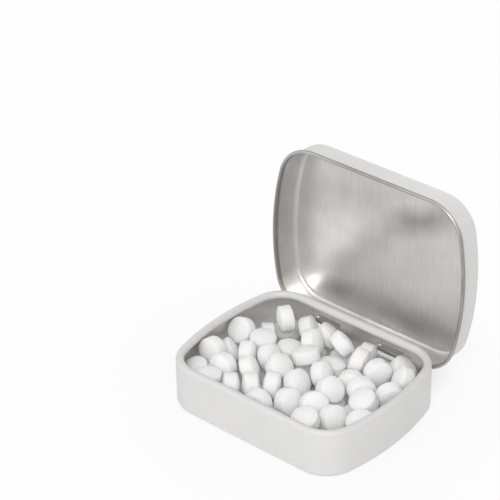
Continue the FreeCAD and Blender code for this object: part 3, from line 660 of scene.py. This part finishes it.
class MINTTIN_OT_lid(bpy.types.Operator):
    """Drawn lid with its beaded mouth and curled hinge tabs, laid back on its stop"""
    bl_idname = "mint_tin.lid"
    bl_label = "Lid"

    def execute(self, context):
        s = context.scene.tin_sizes
        deep, edge, t, bead = s.lid_depth, s.lid_edge, s.sheet, s.bead
        skirt, rolled = 2 * bead - t, -math.degrees(s.bead_turn)
        # The mouth is rolled outwards, so the bead shows the sheet's bare side.
        outside = [(skirt + edge + LIP, deep)]
        outside += arc(skirt + edge, deep - edge, edge, 90, 180, LID_EDGE_STEPS)
        outside += [(skirt, deep - edge - STRAIGHT), (skirt, bead + STRAIGHT)]
        outside += arc(bead, bead, bead - t, 0, rolled, BEAD_INSIDE_STEPS)
        inside = arc(bead, bead, bead, rolled, 0, BEAD_STEPS)
        inside += [(skirt + t, bead + STRAIGHT), (skirt + t, deep - edge - STRAIGHT)]
        inside += arc(skirt + edge, deep - edge, edge - t, 180, 90, LID_EDGE_STEPS)
        inside += [(skirt + edge + LIP, deep - t)]
        mesh = sheet_shell("lid", s, 0.0, outside, inside, (deep, deep - t))
        beside = s.tab_width / 2 + s.side_gap + s.arm + s.bar_gap
        low, high = skirt_face(s) - t - s.bar_gap, s.lid_width / 2 + s.bar_gap
        notch = s.axis_rise + s.bar + s.bar_gap
        mesh = cut_boxes(mesh, [((x - beside, low, -bead), (x + beside, high, notch))
                                for x in hinge_places(s)])
        mesh.transform(opened(s))
        smooth(mesh)
        settle_in(link("lid_shell", mesh), "cover", "lid_tinplate", "lid")
        self.tabs(s, notch)
        return {"FINISHED"}

    def tabs(self, s, notch):
        """Two tabs of the lid's own metal, curled round the bars with the bare side out."""
        curl = curl_radius(s)
        middle = skirt_face(s) - s.sheet + curl
        last = 180 + math.degrees(s.tab_turn)
        outer = [(middle - curl, notch)] + arc(middle, s.axis_rise, curl, 180, last, TAB_STEPS)
        inner = arc(middle, s.axis_rise, curl - s.sheet, last, 180, TAB_STEPS)
        inner += [(middle - curl + s.sheet, notch)]
        solid = bmesh.new()
        for x in hinge_places(s):
            extrude(solid, outer + inner, x - s.tab_width / 2, x + s.tab_width / 2, len(inner))
        bmesh.ops.recalc_face_normals(solid, faces=solid.faces)
        mesh = mesh_of(solid, "lid_tabs", finish(rolled_bare_tinplate), finish(stoved_white_lacquer))
        mesh.transform(opened(s))
        smooth(mesh)
        settle_in(link("lid_tabs", mesh), "cover", "lid_tinplate")


def mint_lies(node):
    """Middle and axis of every mint in a node of solids, from its volume's own spread."""
    work = bmesh.new()
    work.from_mesh(node.data)
    bmesh.ops.remove_doubles(work, verts=work.verts, dist=0.0005 * MM)
    work.verts.ensure_lookup_table()
    group = [-1] * len(work.verts)
    count = 0
    for start in work.verts:
        if group[start.index] >= 0:
            continue
        group[start.index] = count
        waiting = [start]
        while waiting:
            for e in waiting.pop().link_edges:
                for v in e.verts:
                    if group[v.index] < 0:
                        group[v.index] = count
                        waiting.append(v)
        count += 1
    triangles = [[] for k in range(count)]
    for corners in work.calc_loop_triangles():
        triangles[group[corners[0].vert.index]].append([corner.vert.co[:] for corner in corners])
    work.free()
    # Volume, middle and spread are added up over the tetrahedra from an inner point to each triangle.
    lies = []
    for island in triangles:
        tri = np.array(island, dtype=float)
        origin = tri.reshape(-1, 3).mean(0)
        a, b, c = (tri[:, k] - origin for k in range(3))
        volume = np.einsum("ij,ij->i", a, np.cross(b, c)) / 6
        total = volume.sum()
        middle = (volume[:, None] * (a + b + c) / 4).sum(0) / total
        spread = np.zeros((3, 3))
        for p in (a, b, c, a + b + c):
            spread += np.einsum("i,ij,ik->jk", volume, p, p) / 20
        spread = spread / total - np.outer(middle, middle)
        # A mint is spread least along its own axis, which is the first of the directions.
        lies.append((origin + middle, np.linalg.eigh(spread)[1][:, 0]))
    return lies


class MINTTIN_OT_mints(bpy.types.Operator):
    """Filling of pressed mints, each where its solid lies"""
    bl_idname = "mint_tin.mints"
    bl_label = "Mints"

    def execute(self, context):
        m = context.scene.mint_sizes
        names = sorted(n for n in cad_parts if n.startswith("mint"))
        lies = [lie for name in names for lie in mint_lies(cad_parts[name])]
        if not lies:
            raise RuntimeError("the frame holds no mints")
        mould = link("mint_mould", mesh_of(lathe(self.profile(m), MINT_SIDES, (0, 0, 1)), "mint_mould"))
        smooth(mould.data, degrees=80)
        places = bpy.data.meshes.new("mint_places")
        places.from_pydata([tuple(place) for place, way in lies], [], [])
        mark = places.attributes.new("lie", "FLOAT_VECTOR", "POINT")
        mark.data.foreach_set("vector", np.array([way for place, way in lies]).ravel())
        points = link("mint_places", places)
        tree = bpy.data.node_groups.get("Laid mints") or laid_mints()
        mesh = run_tree(points, tree, mint=mould, seed=m.seed, dent=m.dent, dent_width=m.dent_width,
                        finish=finish(pressed_sugar_powder))
        drop(points)
        drop(mould)
        settle_in(link("mints", mesh), "base", "mint", *names)
        return {"FINISHED"}

    def profile(self, m):
        """Half section from the lower pole to the upper one: domed faces, worn edges, straight band."""
        radius, band, worn = m.diameter / 2, m.band / 2, m.edge
        ball = (radius ** 2 + m.dome ** 2) / (2 * m.dome)
        foot = band + m.dome - ball
        # The worn edge is an arc that touches both the band and the dome from inside.
        out = radius - worn
        up = foot + math.sqrt((ball - worn) ** 2 - out ** 2)
        meet = math.degrees(math.atan2(up - foot, out))
        upper = arc(out, up, worn, 0, meet, MINT_STEPS)
        upper += arc(0, foot, ball, meet, 90, MINT_STEPS)[1:-1] + [(0.0, band + m.dome)]
        return [(r, -h) for r, h in reversed(upper)] + upper


# Stage

# Softboxes: place and width in metres, power in watts. Then the place they are aimed at, and the fill light.
LAMPS = {
    "key_softbox": ((0.34, -0.55, 0.6), 0.4, 3.4),
    "left_softbox": ((-0.5, -0.6, 0.35), 0.6, 0.45),
    "back_softbox": ((-0.15, 0.85, 0.22), 0.8, 1.9),
}
LAMPS_AIM = (0, 0.005, 0.015)
FILL_LIGHT = 0.58

# The floor's half width in metres and its glow. It glows less near the tin, and least under its open lid,
# so that the shade there shows: middle and reach in millimetres, edge of the soft border, least glow.
FLOOR_HALF = 4.0
FLOOR_GLOW = 0.94
FLOOR_SHADES = (
    ((0, 3, 0), (70, 60, 60), 0.6, 0.76),
    ((0, 27, 0), (30, 15, 15), 0.8, 0.2),
)

# Camera fitted to the picture: bearing, height and roll in degrees; eye, lens and sensor in millimetres.
CAMERA_TURNS = (40.905, 31.99, -0.86)
CAMERA_EYE = (267.485, -328.29, 309.437)
CAMERA_LENS, CAMERA_SENSOR = 150.2, 36.0

WHITE = (1, 1, 1, 1)


class MINTTIN_OT_stage(bpy.types.Operator):
    """Pale floor, soft studio light and the camera at the picture's angle"""
    bl_idname = "mint_tin.stage"
    bl_label = "Stage"

    def execute(self, context):
        scene = context.scene
        scene.view_settings.view_transform = "Standard"
        self.floor(scene)
        self.world(scene)
        for name, (place, width, power) in LAMPS.items():
            self.lamp(name, place, width, power)
        self.camera(scene)
        return {"FINISHED"}

    def seen(self, tree):
        """Share that is 1 where the camera, a mirror image or a see-through surface looks at the studio."""
        path = add_node(tree, "ShaderNodeLightPath").outputs
        seen = add_node(tree, "ShaderNodeMath", {0: path["Is Camera Ray"], 1: path["Is Glossy Ray"]},
                        operation="MAXIMUM")
        return add_node(tree, "ShaderNodeMath", {0: seen, 1: path["Is Transmission Ray"]},
                        operation="MAXIMUM")

    def floor(self, scene):
        """Paper floor that is seen nearly white and keeps the tin's shadow."""
        made, tree = new_material("pale_studio_paper")
        paper = add_node(tree, "ShaderNodeBsdfPrincipled",
                         {"Base Color": scene.tin_colours.floor, "Roughness": 0.9, "Specular IOR Level": 0.0})
        glow = add_node(tree, "ShaderNodeEmission", {"Color": WHITE, "Strength": 1.0})
        place = add_node(tree, "ShaderNodeTexCoord").outputs["Object"]
        glowing = FLOOR_GLOW
        for middle, reach, border, least in FLOOR_SHADES:
            near = soft_spot(tree, place, middle, reach)
            dimmed = add_node(tree, "ShaderNodeMapRange",
                              {"Value": near, "From Max": border, "To Min": FLOOR_GLOW, "To Max": least})
            glowing = add_node(tree, "ShaderNodeMath", {0: glowing, 1: dimmed}, operation="MINIMUM")
        share = add_node(tree, "ShaderNodeMath", {0: self.seen(tree), 1: glowing}, operation="MULTIPLY")
        mix = add_node(tree, "ShaderNodeMixShader", {0: share, 1: paper, 2: glow})
        add_node(tree, "ShaderNodeOutputMaterial", {"Surface": mix})
        mesh = bpy.data.meshes.new("studio_floor")
        far = FLOOR_HALF
        mesh.from_pydata([(-far, -far, 0), (far, -far, 0), (far, far, 0), (-far, far, 0)], [], [(0, 1, 2, 3)])
        mesh.materials.append(made)
        link("studio_floor", mesh)

    def world(self, scene):
        """Even fill light from all round, seen white."""
        scene.world = bpy.data.worlds.new("studio")
        scene.world.use_nodes = True
        tree = scene.world.node_tree
        tree.nodes.clear()
        fill = add_node(tree, "ShaderNodeBackground", {"Color": WHITE, "Strength": FILL_LIGHT})
        white = add_node(tree, "ShaderNodeBackground", {"Color": WHITE, "Strength": 1.0})
        mix = add_node(tree, "ShaderNodeMixShader", {0: self.seen(tree), 1: fill, 2: white})
        add_node(tree, "ShaderNodeOutputWorld", {"Surface": mix})

    def lamp(self, name, place, width, power):
        """Round softbox aimed at the tin."""
        data = bpy.data.lights.new(name, "AREA")
        data.shape = "DISK"
        data.size = width
        data.energy = power
        lamp = bpy.data.objects.new(name, data)
        lamp.location = place
        aim = Vector(LAMPS_AIM) - Vector(place)
        lamp.rotation_euler = aim.to_track_quat("-Z", "Y").to_euler()
        bpy.context.scene.collection.objects.link(lamp)

    def camera(self, scene):
        """Camera at the picture's angle."""
        bearing, height, roll = (math.radians(a) for a in CAMERA_TURNS)
        eye = Vector(CAMERA_EYE) * MM
        level = math.cos(height)
        back = Vector((math.sin(bearing) * level, -math.cos(bearing) * level, math.sin(height)))
        right = Vector((0, 0, 1)).cross(back).normalized()
        up = back.cross(right)
        across = right * math.cos(roll) + up * math.sin(roll)
        above = up * math.cos(roll) - right * math.sin(roll)
        data = bpy.data.cameras.new("camera")
        data.sensor_width = CAMERA_SENSOR
        data.lens = CAMERA_LENS
        data.dof.use_dof = False
        camera = bpy.data.objects.new("camera", data)
        camera.matrix_world = Matrix.Translation(eye) @ Matrix((across, above, back)).transposed().to_4x4()
        scene.collection.objects.link(camera)
        scene.camera = camera


# Panel

class MINTTIN_PT_panel(bpy.types.Panel):
    """Steps that build the dressed tin, in order"""
    bl_idname = "MINTTIN_PT_panel"
    bl_label = "Mint tin"
    bl_space_type = "VIEW_3D"
    bl_region_type = "UI"
    bl_category = "Mint tin"

    def draw(self, context):
        for step in STEPS:
            self.layout.operator(step.bl_idname)
        for group in GROUPS:
            box = self.layout.box()
            owner = getattr(context.scene, group)
            for name in owner.__annotations__:
                box.prop(owner, name)


STEPS = (MINTTIN_OT_tray, MINTTIN_OT_lid, MINTTIN_OT_mints, MINTTIN_OT_stage)
GROUPS = {"tin_sizes": TinSizes, "mint_sizes": MintSizes, "tin_colours": TinColours}


def register():
    for made in (*GROUPS.values(), *STEPS, MINTTIN_PT_panel):
        bpy.utils.register_class(made)
    for name, group in GROUPS.items():
        setattr(bpy.types.Scene, name, bpy.props.PointerProperty(type=group))


def unregister():
    for name in GROUPS:
        delattr(bpy.types.Scene, name)
    for made in (MINTTIN_PT_panel, *reversed(STEPS), *reversed(list(GROUPS.values()))):
        bpy.utils.unregister_class(made)


def main():
    register()
    bpy.ops.mint_tin.tray()
    bpy.ops.mint_tin.lid()
    bpy.ops.mint_tin.mints()
    bpy.ops.mint_tin.stage()


if __name__ == "__main__":
    main()
